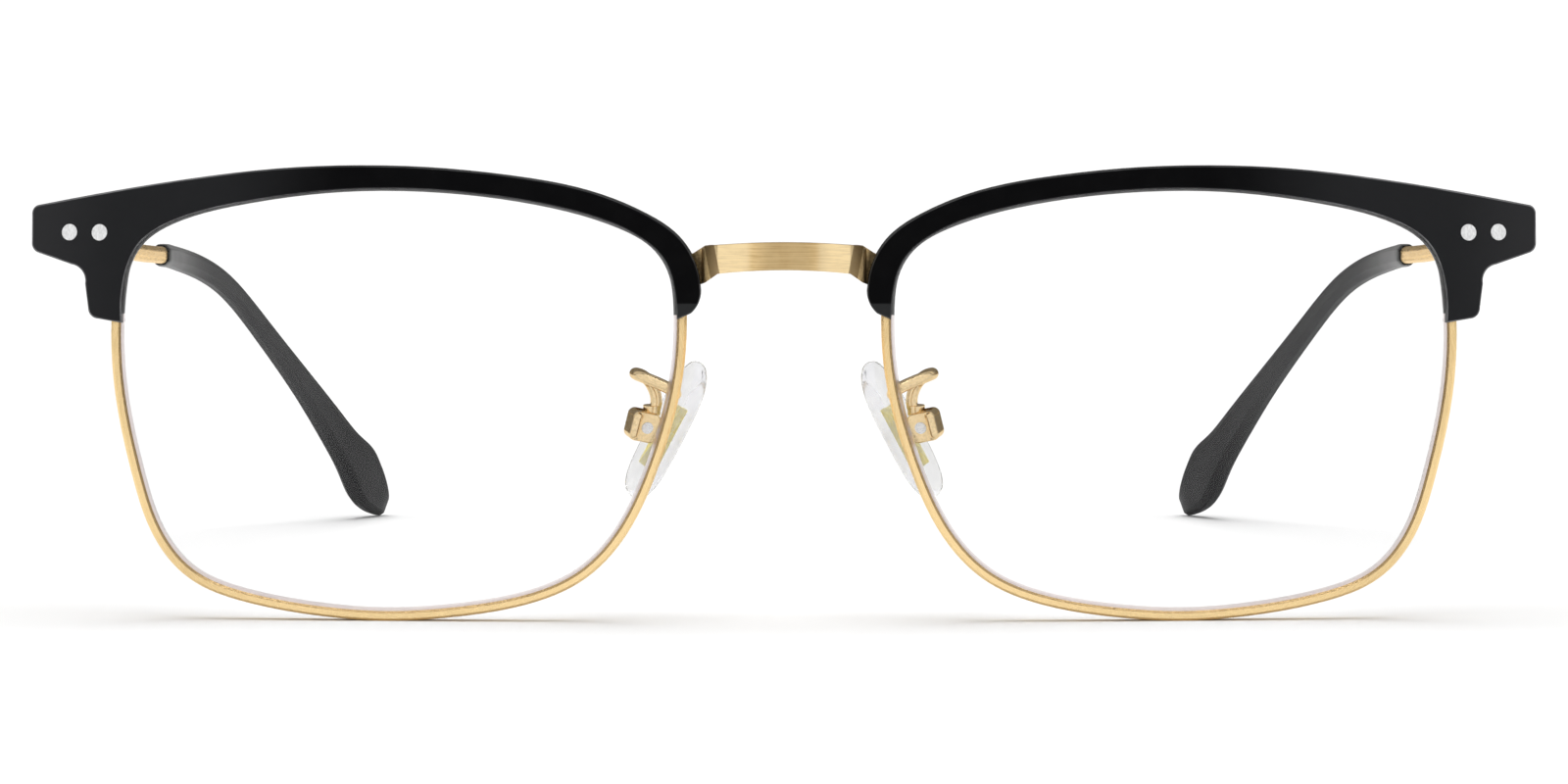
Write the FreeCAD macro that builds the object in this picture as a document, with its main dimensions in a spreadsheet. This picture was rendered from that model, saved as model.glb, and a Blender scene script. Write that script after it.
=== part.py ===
import FreeCAD, Part
import math
import os

from FreeCAD import Placement, Rotation, Vector

# Browline ("half rim") glasses, in millimetres, +Z up and +Y towards the ears.
# One side is modelled, the wearer's left at +X, and mirrored for the other.
# While it is modelled the front-most point of a lens lies at y = 0; each finished piece
# is then moved forward by front_setback, which puts the origin under the box's middle.

doc = FreeCAD.newDocument("browline_glasses")

SIZES = {
    # lens: boxed size, distance between the lenses, and base curve
    "lens_width": 53.0,
    "lens_height": 40.4,
    "lens_gap": 19.3,
    "lens_middle_z": 20.75,
    "lens_thickness": 1.5,
    "lens_bevel": 0.68,
    "lens_radius": 132.5,
    "curve_centre_x": 26.76,
    "curve_centre_z": 20.8,
    "frame_depth": 20.0,
    "front_setback": 71.8,
    # eyewire: section, groove and the cut that the rim lock closes
    "eyewire_outside": 0.55,
    "eyewire_inside": 0.35,
    "eyewire_depth": 2.2,
    "eyewire_ease": 0.22,
    "groove_floor": 0.06,
    "groove_mouth": 1.5,
    "groove_base": 0.8,
    "split_z": 32.6,
    "split_gap": 0.2,
    "split_inward": 4.0,
    "split_outward": 1.0,
    # brow: how far it stands in front of and behind the lens surface, and its channel
    "brow_front": 1.6,
    "brow_rear": 2.6,
    "brow_edge": 0.2,
    "channel_outside": 0.6,
    "channel_inside": 3.0,
    "channel_depth": 2.3,
    # rim lock behind the brow's leg
    "lock_x": 63.75,
    "lock_y": 6.55,
    "lock_width": 2.1,
    "lock_depth": 2.3,
    "lock_height": 1.5,
    "lock_screw_radius": 0.45,
    "lock_screw_fit": 0.02,
    "lock_head_radius": 0.75,
    "lock_head_height": 0.45,
    "lock_screw_short": 0.2,
    # rivets through the brow and the end piece
    "rivet_outer_x": 67.1,
    "rivet_inner_x": 64.2,
    "rivet_z": 36.3,
    "rivet_head_radius": 0.77,
    "rivet_head_height": 0.3,
    "rivet_head_proud": 0.08,
    "rivet_shank_radius": 0.5,
    "rivet_fit": 0.01,
    # end piece, set into the rear of the brow
    "plate_front": 1.4,
    "plate_clearance": 0.05,
    "tab_inner_x": 62.8,
    "tab_outer_x": 64.7,
    "tab_front": 6.0,
    "tab_rear": 9.0,
    "tab_top": 35.2,
    # hinge
    "hinge_x": 66.1,
    "hinge_y": 11.5,
    "hinge_z": 36.3,
    "hinge_tilt": 2.0,
    "barrel_radius": 1.3,
    "barrel_relief": 0.12,
    "barrel_middle": 1.2,
    "barrel_outer": 0.9,
    "washer_thickness": 0.12,
    "washer_setback": 0.1,
    "hinge_screw_radius": 0.5,
    "hinge_screw_fit": 0.03,
    "hinge_head_radius": 0.95,
    "hinge_head_height": 0.45,
    "driver_slot_width": 0.24,
    "driver_slot_depth": 0.2,
    "leg_inner": 1.4,
    "leg_outer": 3.1,
    "leg_depth": 2.6,
    "web_overlap": 0.2,
    "butt_gap": 0.05,
    "leaf_inner": 0.35,
    "leaf_outer": 1.5,
    "leaf_front": 1.25,
    "leaf_rear": 7.5,
    # temple bar
    "temple_start_x": 68.35,
    "temple_inward": 0.0286,
    "temple_downward": 0.084,
    "temple_levelling": 0.000327,
    "temple_root_height": 3.2,
    "temple_root_thickness": 1.7,
    "temple_root_corner": 0.35,
    "temple_height": 1.8,
    "temple_thickness": 1.45,
    "temple_corner": 0.62,
    "temple_taper": 22.0,
    "sleeve_start": 73.5,
    "core_radius": 0.62,
    "core_fit": 0.03,
    "core_end": 0.86,
    # nose pad, its box and its arm
    "pad_pin_x": 13.25,
    "pad_pin_y": 8.0,
    "pad_pin_z": 18.0,
    "pad_frontal_angle": 27.7,
    "pad_splay_angle": 19.0,
    "pad_length": 14.0,
    "pad_width": 7.2,
    "pad_thickness": 1.8,
    "pad_rise": 0.55,
    "pad_back": 1.55,
    "box_tilt": -14.7,
    "box_width": 2.9,
    "box_height": 2.9,
    "box_nose_side": 1.2,
    "box_far_side": 1.55,
    "box_step": 0.22,
    "box_step_from": 0.7,
    "box_rounding": 0.65,
    "box_slot": 1.1,
    "slot_depth": 1.15,
    "tab_thickness": 0.9,
    "tab_height": 1.5,
    "tab_far_side": 0.8,
    "core_plate_length": 6.6,
    "core_plate_width": 3.4,
    "core_plate_thickness": 0.6,
    "core_cover": 0.45,
    "core_rise": -0.1,
    "pad_screw_radius": 0.38,
    "pad_screw_fit": 0.03,
    "pad_screw_head": 0.55,
    "pad_screw_sink": 0.2,
    "pad_screw_proud": 0.06,
    "arm_radius": 0.56,
    "collar_radius": 0.82,
    "collar_height": 0.6,
    "collar_towards_nose": 0.42,
    # bridge
    "bridge_front": 2.45,
    "bridge_thickness": 1.5,
}

sheet = doc.addObject("Spreadsheet::Sheet", "sizes")
for row, (alias, value) in enumerate(SIZES.items(), start=1):
    sheet.set("A%d" % row, alias)
    sheet.set("B%d" % row, str(value))
    sheet.setAlias("B%d" % row, alias)
doc.recompute()


def size(alias):
    return float(sheet.get(alias))


# Half the length of a tool that passes right through a small piece.
THROUGH = 4.0


def bind(obj, **expressions):
    """Tie properties of an object to the sheet; Base_x stands for Placement.Base.x."""
    for name, expression in expressions.items():
        path = name.replace("Base_", "Placement.Base.")
        obj.setExpression(path, expression)
    return obj


# ---------------------------------------------------------------- general helpers

finished = {}


def feature(name, shape, place=None):
    """A document object whose shape is worked out here."""
    obj = doc.addObject("Part::Feature", name)
    obj.Shape = shape
    if place is not None:
        obj.Placement = place
    return obj


def cut(name, base, tool):
    obj = doc.addObject("Part::Cut", name)
    obj.Base = base
    obj.Tool = tool
    return obj


def common(name, base, tool):
    obj = doc.addObject("Part::Common", name)
    obj.Base = base
    obj.Tool = tool
    return obj


def fuse(name, pieces):
    obj = doc.addObject("Part::MultiFuse", name)
    obj.Shapes = pieces
    return obj


def group(name, pieces):
    obj = doc.addObject("Part::Compound", name)
    obj.Links = pieces
    return obj


def box(name, frame, low, high):
    """A block between two corners given in a local frame."""
    obj = doc.addObject("Part::Box", name)
    obj.Length = high[0] - low[0]
    obj.Width = high[1] - low[1]
    obj.Height = high[2] - low[2]
    obj.Placement = frame.multiply(Placement(Vector(*low), Rotation()))
    return obj


def cylinder(name, frame, radius, bottom, top):
    """A round bar along a local frame's z axis; radius is an expression on the sheet."""
    obj = doc.addObject("Part::Cylinder", name)
    obj.setExpression("Radius", radius)
    obj.Height = top - bottom
    obj.Placement = frame.multiply(Placement(Vector(0, 0, bottom), Rotation()))
    return obj


def finish(node, obj, both_sides=True):
    """Name a finished piece, set it back, and mirror it for the other side."""
    doc.recompute()
    side = "_left" if both_sides else ""
    obj.Label = node + side
    shift = Placement(Vector(0, -size("front_setback"), 0), Rotation())
    obj.Placement = shift.multiply(obj.Placement)
    finished[node + side] = obj
    if both_sides:
        twin = doc.addObject("Part::Mirroring", node + "_mirrored")
        twin.Source = obj
        twin.Normal = Vector(1, 0, 0)
        twin.Label = node + "_right"
        finished[node + "_right"] = twin


def rounded_wire(corners, radius, to_space):
    """A closed flat outline with every corner rounded to the same radius."""
    edges = []
    count = len(corners)
    starts = []
    ends = []
    for index in range(count):
        before = Vector(*corners[index - 1], 0)
        corner = Vector(*corners[index], 0)
        after = Vector(*corners[(index + 1) % count], 0)
        back = (before - corner).normalize()
        ahead = (after - corner).normalize()
        half = back.getAngle(ahead) / 2.0
        reach = radius / math.tan(half)
        middle_way = (back + ahead).normalize()
        centre = corner + middle_way * (radius / math.sin(half))
        starts.append(corner + back * reach)
        ends.append(corner + ahead * reach)
        bulge = centre - middle_way * radius
        arc = Part.Arc(to_space(starts[-1]), to_space(bulge), to_space(ends[-1]))
        edges.append(arc.toShape())
    for index in range(count):
        start = to_space(ends[index])
        end = to_space(starts[(index + 1) % count])
        if start.distanceToPoint(end) > 0.001:
            edges.append(Part.LineSegment(start, end).toShape())
    return Part.Wire(Part.__sortEdges__(edges))


def block_section(height, thickness, corner, origin, across, upward):
    """A rounded rectangle around a point of a path."""
    half_width = thickness / 2.0
    half_height = height / 2.0
    corners = [
        (-half_width, -half_height),
        (half_width, -half_height),
        (half_width, half_height),
        (-half_width, half_height),
    ]
    return rounded_wire(corners, corner, lambda p: origin + across * p.x + upward * p.y)


# ---------------------------------------------------------------- the curved front

curve_centre = Vector(size("curve_centre_x"), size("lens_radius"), size("curve_centre_z"))


def surface_y(x, z, lift):
    """The y of the lens curve raised forward by lift, at a place in front view."""
    radius = size("lens_radius") + lift
    away = (x - curve_centre.x) ** 2 + (z - curve_centre.z) ** 2
    return curve_centre.y - math.sqrt(radius ** 2 - away)


def surface_frame(x, z, lift):
    """A frame on the lens curve with its z axis pointing out of the front."""
    point = Vector(x, surface_y(x, z, lift), z)
    return Placement(point, Rotation(Vector(0, 0, 1), point - curve_centre))


RIVETS = ("rivet_outer_x", "rivet_inner_x")
# Deep enough to open the end piece behind the brow, short of the hinge leg.
RIVET_HOLE_DEPTH = 6.0


def rivet_frame(alias):
    """On the brow's front face, square to it, where a rivet goes."""
    return surface_frame(size(alias), size("rivet_z"), size("brow_front"))


def ball(name, lift):
    """The lens curve as a ball, larger by an expression on the sheet."""
    obj = doc.addObject("Part::Sphere", name)
    return bind(
        obj,
        Radius="sizes.lens_radius + " + lift,
        Base_x="sizes.curve_centre_x",
        Base_y="sizes.lens_radius",
        Base_z="sizes.curve_centre_z",
    )


def curved_plate(name, outline, front, rear):
    """A front-view outline made solid between two lifts from the lens curve."""
    outline_object = feature(name + "_outline", outline)
    block = doc.addObject("Part::Extrusion", name + "_block")
    block.Base = outline_object
    block.DirMode = "Custom"
    block.Dir = Vector(0, 1, 0)
    block.Solid = True
    bind(block, LengthFwd="sizes.frame_depth")
    shell = cut(name + "_shell", ball(name + "_front", front), ball(name + "_rear", rear))
    return common(name + "_plate", block, shell)


OUTLINE_Y = -3.0


def flat(x, z):
    return Vector(x, OUTLINE_Y, z)


def smooth(points):
    curve = Part.BSplineCurve()
    curve.interpolate([flat(x, z) for x, z in points])
    return curve.toShape()


def straight(start, end):
    return Part.LineSegment(flat(*start), flat(*end)).toShape()


def arc(start, through, end):
    return Part.Arc(flat(*start), flat(*through), flat(*end)).toShape()


# The lens edge in front view, as fractions of half its width and half its height,
# from the rim lock down the temple side, along the bottom and back over the top.
LENS_SHAPE = [
    (0.984, 0.57),
    (1.0, 0.31),
    (0.987, 0.03),
    (0.925, -0.364),
    (0.86, -0.614),
    (0.737, -0.813),
    (0.55, -0.916),
    (0.277, -0.98),
    (0.03, -1.0),
    (-0.212, -0.979),
    (-0.47, -0.916),
    (-0.64, -0.817),
    (-0.774, -0.643),
    (-0.903, -0.3),
    (-0.984, 0.085),
    (-1.0, 0.43),
    (-0.98, 0.597),
    (-0.923, 0.716),
    (-0.78, 0.829),
    (-0.472, 0.939),
    (-0.126, 0.992),
    (0.221, 0.99),
    (0.542, 0.935),
    (0.788, 0.85),
    (0.925, 0.735),
]

lens_middle_x = (size("lens_width") + size("lens_gap")) / 2.0
lens_curve = Part.BSplineCurve()
lens_curve.interpolate(
    Points=[
        flat(
            lens_middle_x + across * size("lens_width") / 2.0,
            size("lens_middle_z") + upward * size("lens_height") / 2.0,
        )
        for across, upward in LENS_SHAPE
    ],
    PeriodicFlag=True,
)

RIM_STEPS = 60


def rim_path():
    """The lens edge laid on the middle of the lens's thickness."""
    first = lens_curve.FirstParameter
    stride = (lens_curve.LastParameter - first) / RIM_STEPS
    points = []
    for step in range(RIM_STEPS):
        point = lens_curve.value(first + step * stride)
        depth = surface_y(point.x, point.z, -size("lens_thickness") / 2.0)
        points.append(Vector(point.x, depth, point.z))
    curve = Part.BSplineCurve()
    curve.interpolate(Points=points, PeriodicFlag=True)
    return curve


def rim_sweep(section):
    """Sweep a section round the lens; section corners are (outward, backward) pairs."""
    curve = rim_path()
    start = curve.value(curve.FirstParameter)
    forward = curve.tangent(curve.FirstParameter)[0]
    outward = Vector(forward.z, 0, -forward.x).normalize()
    middle = Vector(lens_middle_x, start.y, size("lens_middle_z"))
    if outward.dot(start - middle) < 0:
        outward = -outward
    backward = Vector(0, 1, 0)
    corners = [start + outward * out + backward * back for out, back in section]
    profile = Part.makePolygon(corners + corners[:1])
    shell = Part.BRepOffsetAPI.MakePipeShell(Part.Wire([curve.toShape()]))
    shell.setBiNormalMode(backward)
    shell.add(profile)
    shell.build()
    shell.makeSolid()
    return shell.shape()


# ---------------------------------------------------------------- lenses and eyewires


def make_lens():
    outline = Part.Wire([lens_curve.toShape()])
    plate = curved_plate("lens", outline, "0", "(-sizes.lens_thickness)")
    doc.recompute()
    bevel = doc.addObject("Part::Chamfer", "lens_bevelled")
    bevel.Base = plate
    width = size("lens_bevel")
    rims = range(1, len(plate.Shape.Edges) + 1)
    closed = [index for index in rims if plate.Shape.Edges[index - 1].Length > size("lens_width")]
    bevel.Edges = [(index, width, width) for index in closed]
    finish("lens", bevel)


def make_eyewire():
    half = size("eyewire_depth") / 2.0
    outside = size("eyewire_outside")
    inside = -size("eyewire_inside")
    ease = size("eyewire_ease")
    mouth = size("groove_mouth") / 2.0
    base = size("groove_base") / 2.0
    floor = size("groove_floor")
    section = [
        (outside - ease, -half),
        (outside, ease - half),
        (outside, half - ease),
        (outside - ease, half),
        (inside + ease, half),
        (inside, half - ease),
        (inside, mouth),
        (floor, base),
        (floor, -base),
        (inside, -mouth),
        (inside, ease - half),
        (inside + ease, -half),
    ]
    ring = feature("eyewire_ring", rim_sweep(section))
    half_gap = size("split_gap") / 2.0
    low = (size("lock_x") - size("split_inward"), 0.0, size("split_z") - half_gap)
    high = (size("lock_x") + size("split_outward"), size("frame_depth"), size("split_z") + half_gap)
    return cut("eyewire", ring, box("eyewire_split", Placement(), low, high))


# ---------------------------------------------------------------- brow

BROW_TOP = [
    (70.0, 38.86),
    (64.4, 39.93),
    (55.0, 41.44),
    (47.5, 42.29),
    (39.4, 42.6),
    (32.8, 42.4),
    (25.5, 41.66),
    (18.2, 40.24),
    (12.8, 38.06),
    (9.9, 36.05),
    (8.35, 33.75),
    (7.8, 31.3),
]

BROW_INNER = [
    (9.98, 28.3),
    (10.22, 31.05),
    (11.15, 33.8),
    (13.5, 35.98),
    (18.7, 38.16),
    (26.9, 39.78),
    (34.8, 40.44),
    (42.0, 40.29),
    (50.5, 39.17),
    (56.9, 37.5),
    (60.4, 35.26),
    (61.82, 32.02),
    (62.06, 27.85),
]


def brow_outline():
    """Top edge, nasal tip, inner edge, temporal leg and lug, in front view."""
    return Part.Wire([
        smooth(BROW_TOP),
        arc((7.8, 31.3), (8.0, 29.75), (8.7, 28.85)),
        straight((8.7, 28.85), (9.98, 28.3)),
        smooth(BROW_INNER),
        straight((62.06, 27.85), (64.3, 28.22)),
        arc((64.3, 28.22), (65.05, 28.55), (65.3, 29.2)),
        straight((65.3, 29.2), (65.6, 31.5)),
        arc((65.6, 31.5), (65.95, 32.75), (66.9, 33.28)),
        straight((66.9, 33.28), (70.2, 34.36)),
        arc((70.2, 34.36), (70.62, 34.68), (70.8, 35.2)),
        straight((70.8, 35.2), (70.8, 38.0)),
        arc((70.8, 38.0), (70.58, 38.6), (70.0, 38.86)),
    ])


END_PLATE = [(62.8, 34.3), (69.5, 34.62), (69.9, 35.1), (69.9, 38.0), (66.0, 38.6), (62.8, 38.6)]
LOCK_WELL = [(62.3, 30.3), (65.1, 30.3), (65.1, 35.3), (62.3, 35.3)]
WELL_LIFT = -0.55
NOTCH_CLEARANCE = 0.1


def polygon(points):
    return Part.makePolygon([flat(x, z) for x, z in points + points[:1]])


def grown(points, amount):
    wire = polygon(points)
    return wire.makeOffset2D(amount, 2)


def eased(name, base, lift, radius):
    """Round the edges that lie on one lift of the lens curve."""
    doc.recompute()
    reach = size("lens_radius") + lift
    chosen = []
    for index, edge in enumerate(base.Shape.Edges, start=1):
        points = edge.discretize(5)
        if all(abs(point.distanceToPoint(curve_centre) - reach) < 0.01 for point in points):
            chosen.append(index)
    rounding = doc.addObject("Part::Fillet", name)
    rounding.Base = base
    rounding.Edges = [(index, radius, radius) for index in chosen]
    return rounding


def make_brow():
    sharp = curved_plate("brow", brow_outline(), "sizes.brow_front", "(-sizes.brow_rear)")
    plate = eased("brow_eased", sharp, size("brow_front"), size("brow_edge"))
    half = size("channel_depth") / 2.0
    outside = size("channel_outside")
    inside = -size("channel_inside")
    section = [(outside, -half), (outside, half), (inside, half), (inside, -half)]
    channel = feature("brow_channel", rim_sweep(section))
    recess = curved_plate(
        "brow_recess",
        grown(END_PLATE, size("plate_clearance")),
        "(-sizes.plate_front)",
        "(-2 * sizes.brow_rear)",
    )
    well_outline = polygon(LOCK_WELL)
    well = curved_plate("brow_well", well_outline, "(%s)" % WELL_LIFT, "(-2 * sizes.brow_rear)")
    notch = make_bridge_blank("brow_notch", NOTCH_CLEARANCE)
    hole_depth = size("brow_front") + size("plate_front") + size("rivet_head_height")
    holes = [
        cylinder(
            "brow_hole_%d" % number,
            rivet_frame(alias),
            "sizes.rivet_head_radius + sizes.rivet_fit",
            -hole_depth,
            hole_depth,
        )
        for number, alias in enumerate(RIVETS, start=1)
    ]
    tools = fuse("brow_openings", [channel, recess, well, notch] + holes)
    return cut("brow", plate, tools)


# ---------------------------------------------------------------- bridge

# The bridge on one side, as (x, y) seen from above and (x, z) seen from the front:
# a flat bar, a folded facet, a second fold and the foot that is brazed to the eyewire.
FOOT_END_X = 9.5
BRIDGE_FRONT = [(6.15, -2.2), (7.4, -0.5), (7.72, 1.65), (FOOT_END_X, 2.2)]
BRIDGE_REAR = [(FOOT_END_X, 3.7), (6.87, 3.3), (6.38, 0.3), (5.6, -0.72)]
BRIDGE_TOP = [(FOOT_END_X, 33.9), (8.4, 34.45), (7.4, 35.1), (6.15, 35.28)]
BRIDGE_UNDER = [(6.15, 32.62), (7.3, 31.78), (7.75, 31.53), (FOOT_END_X, 31.4)]
BRIDGE_CROWN_Z = 35.54
BRIDGE_ARCH_Z = 32.97
BRIDGE_STRIP_HEIGHT = 60.0


def bridge_loop(first, last, first_middle, last_middle, to_space):
    """A closed outline: two lists of corners, joined over the middle by two arcs."""
    right = first + last
    left = [(-across, other) for across, other in right]
    edges = [
        Part.Arc(to_space(*left[0]), to_space(0, first_middle), to_space(*right[0])).toShape(),
        Part.Arc(to_space(*right[-1]), to_space(0, last_middle), to_space(*left[-1])).toShape(),
    ]
    for side in (right, left):
        edges += Part.makePolygon([to_space(*corner) for corner in side]).Edges
    return Part.Wire(Part.__sortEdges__(edges))


def bridge_plan(grow):
    front = [(x + grow * (x < FOOT_END_X), y - grow) for x, y in BRIDGE_FRONT]
    rear = [(x - grow * (x < FOOT_END_X), y + grow) for x, y in BRIDGE_REAR]
    forward = -size("bridge_front") - grow
    backward = -size("bridge_front") + size("bridge_thickness") + grow
    return bridge_loop(front, rear, forward, backward, lambda x, y: Vector(x, y, 0))


def bridge_face(grow):
    top = [(x, z + grow) for x, z in reversed(BRIDGE_TOP)]
    under = [(x, z - grow) for x, z in reversed(BRIDGE_UNDER)]
    return bridge_loop(top, under, BRIDGE_CROWN_Z + grow, BRIDGE_ARCH_Z - grow, flat)


def make_bridge_blank(name, grow):
    """The strip bent in plan and cut to its front-view outline."""
    plan = doc.addObject("Part::Extrusion", name + "_strip")
    plan.Base = feature(name + "_plan", bridge_plan(grow))
    plan.DirMode = "Custom"
    plan.Dir = Vector(0, 0, 1)
    plan.Solid = True
    plan.LengthFwd = BRIDGE_STRIP_HEIGHT
    face = doc.addObject("Part::Extrusion", name + "_silhouette")
    face.Base = feature(name + "_face", bridge_face(grow))
    face.DirMode = "Custom"
    face.Dir = Vector(0, 1, 0)
    face.Solid = True
    bind(face, LengthFwd="sizes.frame_depth")
    return common(name + "_blank", plan, face)


def make_bridge(eyewire):
    blank = make_bridge_blank("bridge", 0.0)
    other = doc.addObject("Part::Mirroring", "eyewire_other")
    other.Source = eyewire
    other.Normal = Vector(1, 0, 0)
    seats = fuse("bridge_seats", [eyewire, other])
    finish("bridge", cut("bridge_bar", blank, seats), both_sides=False)


# ---------------------------------------------------------------- rivets


def make_rivets():
    rivets = []
    for number, alias in enumerate(RIVETS, start=1):
        frame = rivet_frame(alias)
        top = size("rivet_head_proud")
        floor = top - size("rivet_head_height")
        name = "rivet_%d_" % number
        head = cylinder(name + "head", frame, "sizes.rivet_head_radius", floor, top)
        tail = -size("brow_front") - size("brow_rear")
        shank = cylinder(name + "shank", frame, "sizes.rivet_shank_radius", tail, floor)
        rivets.append(fuse("rivet_%d" % number, [head, shank]))
    finish("brow_rivets", group("brow_rivets", rivets))


# ---------------------------------------------------------------- hinge frame

hinge_frame = Placement(
    Vector(size("hinge_x"), size("hinge_y"), size("hinge_z")),
    Rotation(Vector(0, 1, 0), -size("hinge_tilt")),
)


HINGE_BORE = "sizes.hinge_screw_radius + sizes.hinge_screw_fit"
BARREL_SPACE = "sizes.barrel_radius + sizes.barrel_relief"


def hinge_levels():
    """Heights along the pin: top of middle barrel, of washer, of outer barrel."""
    middle = size("barrel_middle") / 2.0
    washer = middle + size("washer_thickness")
    outer = washer + size("barrel_outer")
    return middle, washer, outer


# ---------------------------------------------------------------- end piece


def make_end_piece():
    washer, outer = hinge_levels()[1:]
    gap = size("butt_gap")
    outline = polygon(END_PLATE)
    plate = curved_plate("end_plate", outline, "(-sizes.plate_front)", "(-sizes.brow_rear)")
    lock_top = size("split_z") + size("split_gap") / 2.0 + size("lock_height")
    tab = box(
        "end_tab",
        Placement(),
        (size("tab_inner_x"), size("tab_front"), lock_top),
        (size("tab_outer_x"), size("tab_rear"), size("tab_top")),
    )
    leg_low = (size("leg_inner"), -size("leg_depth"), -outer)
    leg = box("end_leg", hinge_frame, leg_low, (size("leg_outer"), -gap, outer))
    pieces = [plate, tab, leg]
    for label, low, high in (("lower", -outer, -washer), ("upper", washer, outer)):
        pieces.append(cylinder("end_barrel_" + label, hinge_frame, "sizes.barrel_radius", low, high))
        web_low = (0.0, -size("barrel_radius"), low)
        web_high = (size("leg_inner") + size("web_overlap"), -gap, high)
        pieces.append(box("end_web_" + label, hinge_frame, web_low, web_high))
    solid = fuse("end_piece_solid", pieces)
    bore = cylinder("end_bore", hinge_frame, HINGE_BORE, -THROUGH, THROUGH)
    relief = cylinder("end_relief", hinge_frame, BARREL_SPACE, -washer, washer)
    tools = [bore, relief]
    hole_radius = "sizes.rivet_shank_radius + sizes.rivet_fit"
    for number, alias in enumerate(RIVETS, start=1):
        name = "end_hole_%d" % number
        tools.append(cylinder(name, rivet_frame(alias), hole_radius, -RIVET_HOLE_DEPTH, 0.0))
    finish("end_piece", cut("end_piece", solid, fuse("end_openings", tools)))


def make_hinge_hardware():
    middle, washer, outer = hinge_levels()
    head_top = outer + size("hinge_head_height")
    shaft = cylinder("hinge_shaft", hinge_frame, "sizes.hinge_screw_radius", -outer, outer)
    head = cylinder("hinge_head", hinge_frame, "sizes.hinge_head_radius", outer, head_top)
    half_slot = size("driver_slot_width") / 2.0
    slot_low = (-THROUGH, -half_slot, head_top - size("driver_slot_depth"))
    slot = box("hinge_slot", hinge_frame, slot_low, (THROUGH, half_slot, head_top + THROUGH))
    screw = cut("hinge_screw", fuse("hinge_screw_blank", [shaft, head]), slot)
    finish("hinge_screw", screw)
    washers = []
    for label, low, high in (("lower", -washer, -middle), ("upper", middle, washer)):
        rim = "sizes.barrel_radius - sizes.washer_setback"
        disc = cylinder("washer_disc_" + label, hinge_frame, rim, low, high)
        hole = cylinder("washer_hole_" + label, hinge_frame, HINGE_BORE, low, high)
        washers.append(cut("washer_" + label, disc, hole))
    finish("hinge_washers", group("hinge_washers", washers))


# ---------------------------------------------------------------- rim lock


def make_rim_lock(eyewire):
    half_width = size("lock_width") / 2.0
    half_depth = size("lock_depth") / 2.0
    half_gap = size("split_gap") / 2.0
    height = size("lock_height")
    centre = Placement(Vector(size("lock_x"), size("lock_y"), size("split_z")), Rotation())
    bore_radius = "sizes.lock_screw_radius + sizes.lock_screw_fit"
    bore = cylinder("lock_bore", centre, bore_radius, -THROUGH, THROUGH)
    halves = (("upper", half_gap, half_gap + height), ("lower", -half_gap - height, -half_gap))
    for label, low, high in halves:
        block = box(
            "lock_block_" + label,
            centre,
            (-half_width, -half_depth, low),
            (half_width, half_depth, high),
        )
        tools = fuse("lock_space_" + label, [bore, eyewire])
        finish("rim_lock_" + label, cut("rim_lock_" + label, block, tools))
    bottom = -half_gap - height
    shaft_top = half_gap + height - size("lock_screw_short")
    shaft = cylinder("lock_shaft", centre, "sizes.lock_screw_radius", bottom, shaft_top)
    head = cylinder(
        "lock_head", centre, "sizes.lock_head_radius", bottom - size("lock_head_height"), bottom
    )
    finish("rim_lock_screw", fuse("rim_lock_screw", [shaft, head]))


# ---------------------------------------------------------------- temple


def temple_point(length):
    """A point of the temple bar, a length behind the hinge; the bar levels out as it goes."""
    drop = length * size("temple_downward") - length ** 2 * size("temple_levelling")
    return Vector(
        size("temple_start_x") - length * size("temple_inward"),
        size("hinge_y") + length,
        size("hinge_z") - drop,
    )


TEMPLE_BEND = [
    (65.45, 100.0, 30.9),
    (62.9, 109.5, 29.0),
    (59.0, 119.8, 23.4),
    (54.4, 128.9, 15.9),
    (50.0, 138.0, 8.0),
    (46.6, 145.5, 1.3),
]


def tip_path():
    """The sleeve's middle line: straight on from the bar, then down and inwards."""
    start = temple_point(size("sleeve_start"))
    along = temple_point(size("sleeve_start") + 1.0) - start
    end = Vector(*TEMPLE_BEND[-1]) - Vector(*TEMPLE_BEND[-2])
    curve = Part.BSplineCurve()
    curve.interpolate(
        Points=[start] + [Vector(*point) for point in TEMPLE_BEND],
        InitialTangent=along,
        FinalTangent=end,
    )
    return curve


def path_axes(tangent):
    """Across and upward axes for a section square to the path."""
    across = tangent.cross(Vector(0, 0, 1)).normalize()
    upward = across.cross(tangent).normalize()
    return across, upward


# Sleeve sections: place along the path from 0 to 1, height, thickness, the cut of three
# corners, and the height of the broad facet on the fourth, the upper one on the inner side.
SLEEVE = [
    (0.0, 2.1, 1.85, 0.5, 0.5),
    (0.01, 2.25, 1.95, 0.55, 0.55),
    (0.08, 2.4, 2.0, 0.6, 0.55),
    (0.2, 2.45, 2.0, 0.6, 0.6),
    (0.38, 2.5, 2.0, 0.6, 0.65),
    (0.53, 2.65, 2.0, 0.6, 0.75),
    (0.68, 3.4, 2.05, 0.6, 1.0),
    (0.8, 4.8, 2.15, 0.65, 1.4),
    (0.88, 6.0, 2.25, 0.65, 1.5),
    (0.935, 7.1, 2.25, 0.65, 1.3),
    (0.965, 6.3, 2.15, 0.65, 1.2),
    (0.99, 4.3, 1.9, 0.55, 1.0),
    (1.0, 3.2, 1.3, 0.4, 0.8),
]
SLEEVE_EDGE = 0.22
SLEEVE_SHOULDER = 0.25


def sleeve_section(height, thickness, corner, facet, origin, across, upward):
    """Eight sides with eased corners: one broad facet and three small ones."""
    outer = thickness / 2.0
    top = height / 2.0
    facet_reach = min(SLEEVE_SHOULDER + facet / 2.0, outer)
    corners = [
        (corner - outer, -top),
        (outer - corner, -top),
        (outer, corner - top),
        (outer, top - corner),
        (outer - corner, top),
        (facet_reach - outer, top),
        (-outer, top - facet),
        (-outer, corner - top),
    ]
    return rounded_wire(corners, SLEEVE_EDGE, lambda p: origin + across * p.x + upward * p.y)


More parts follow.
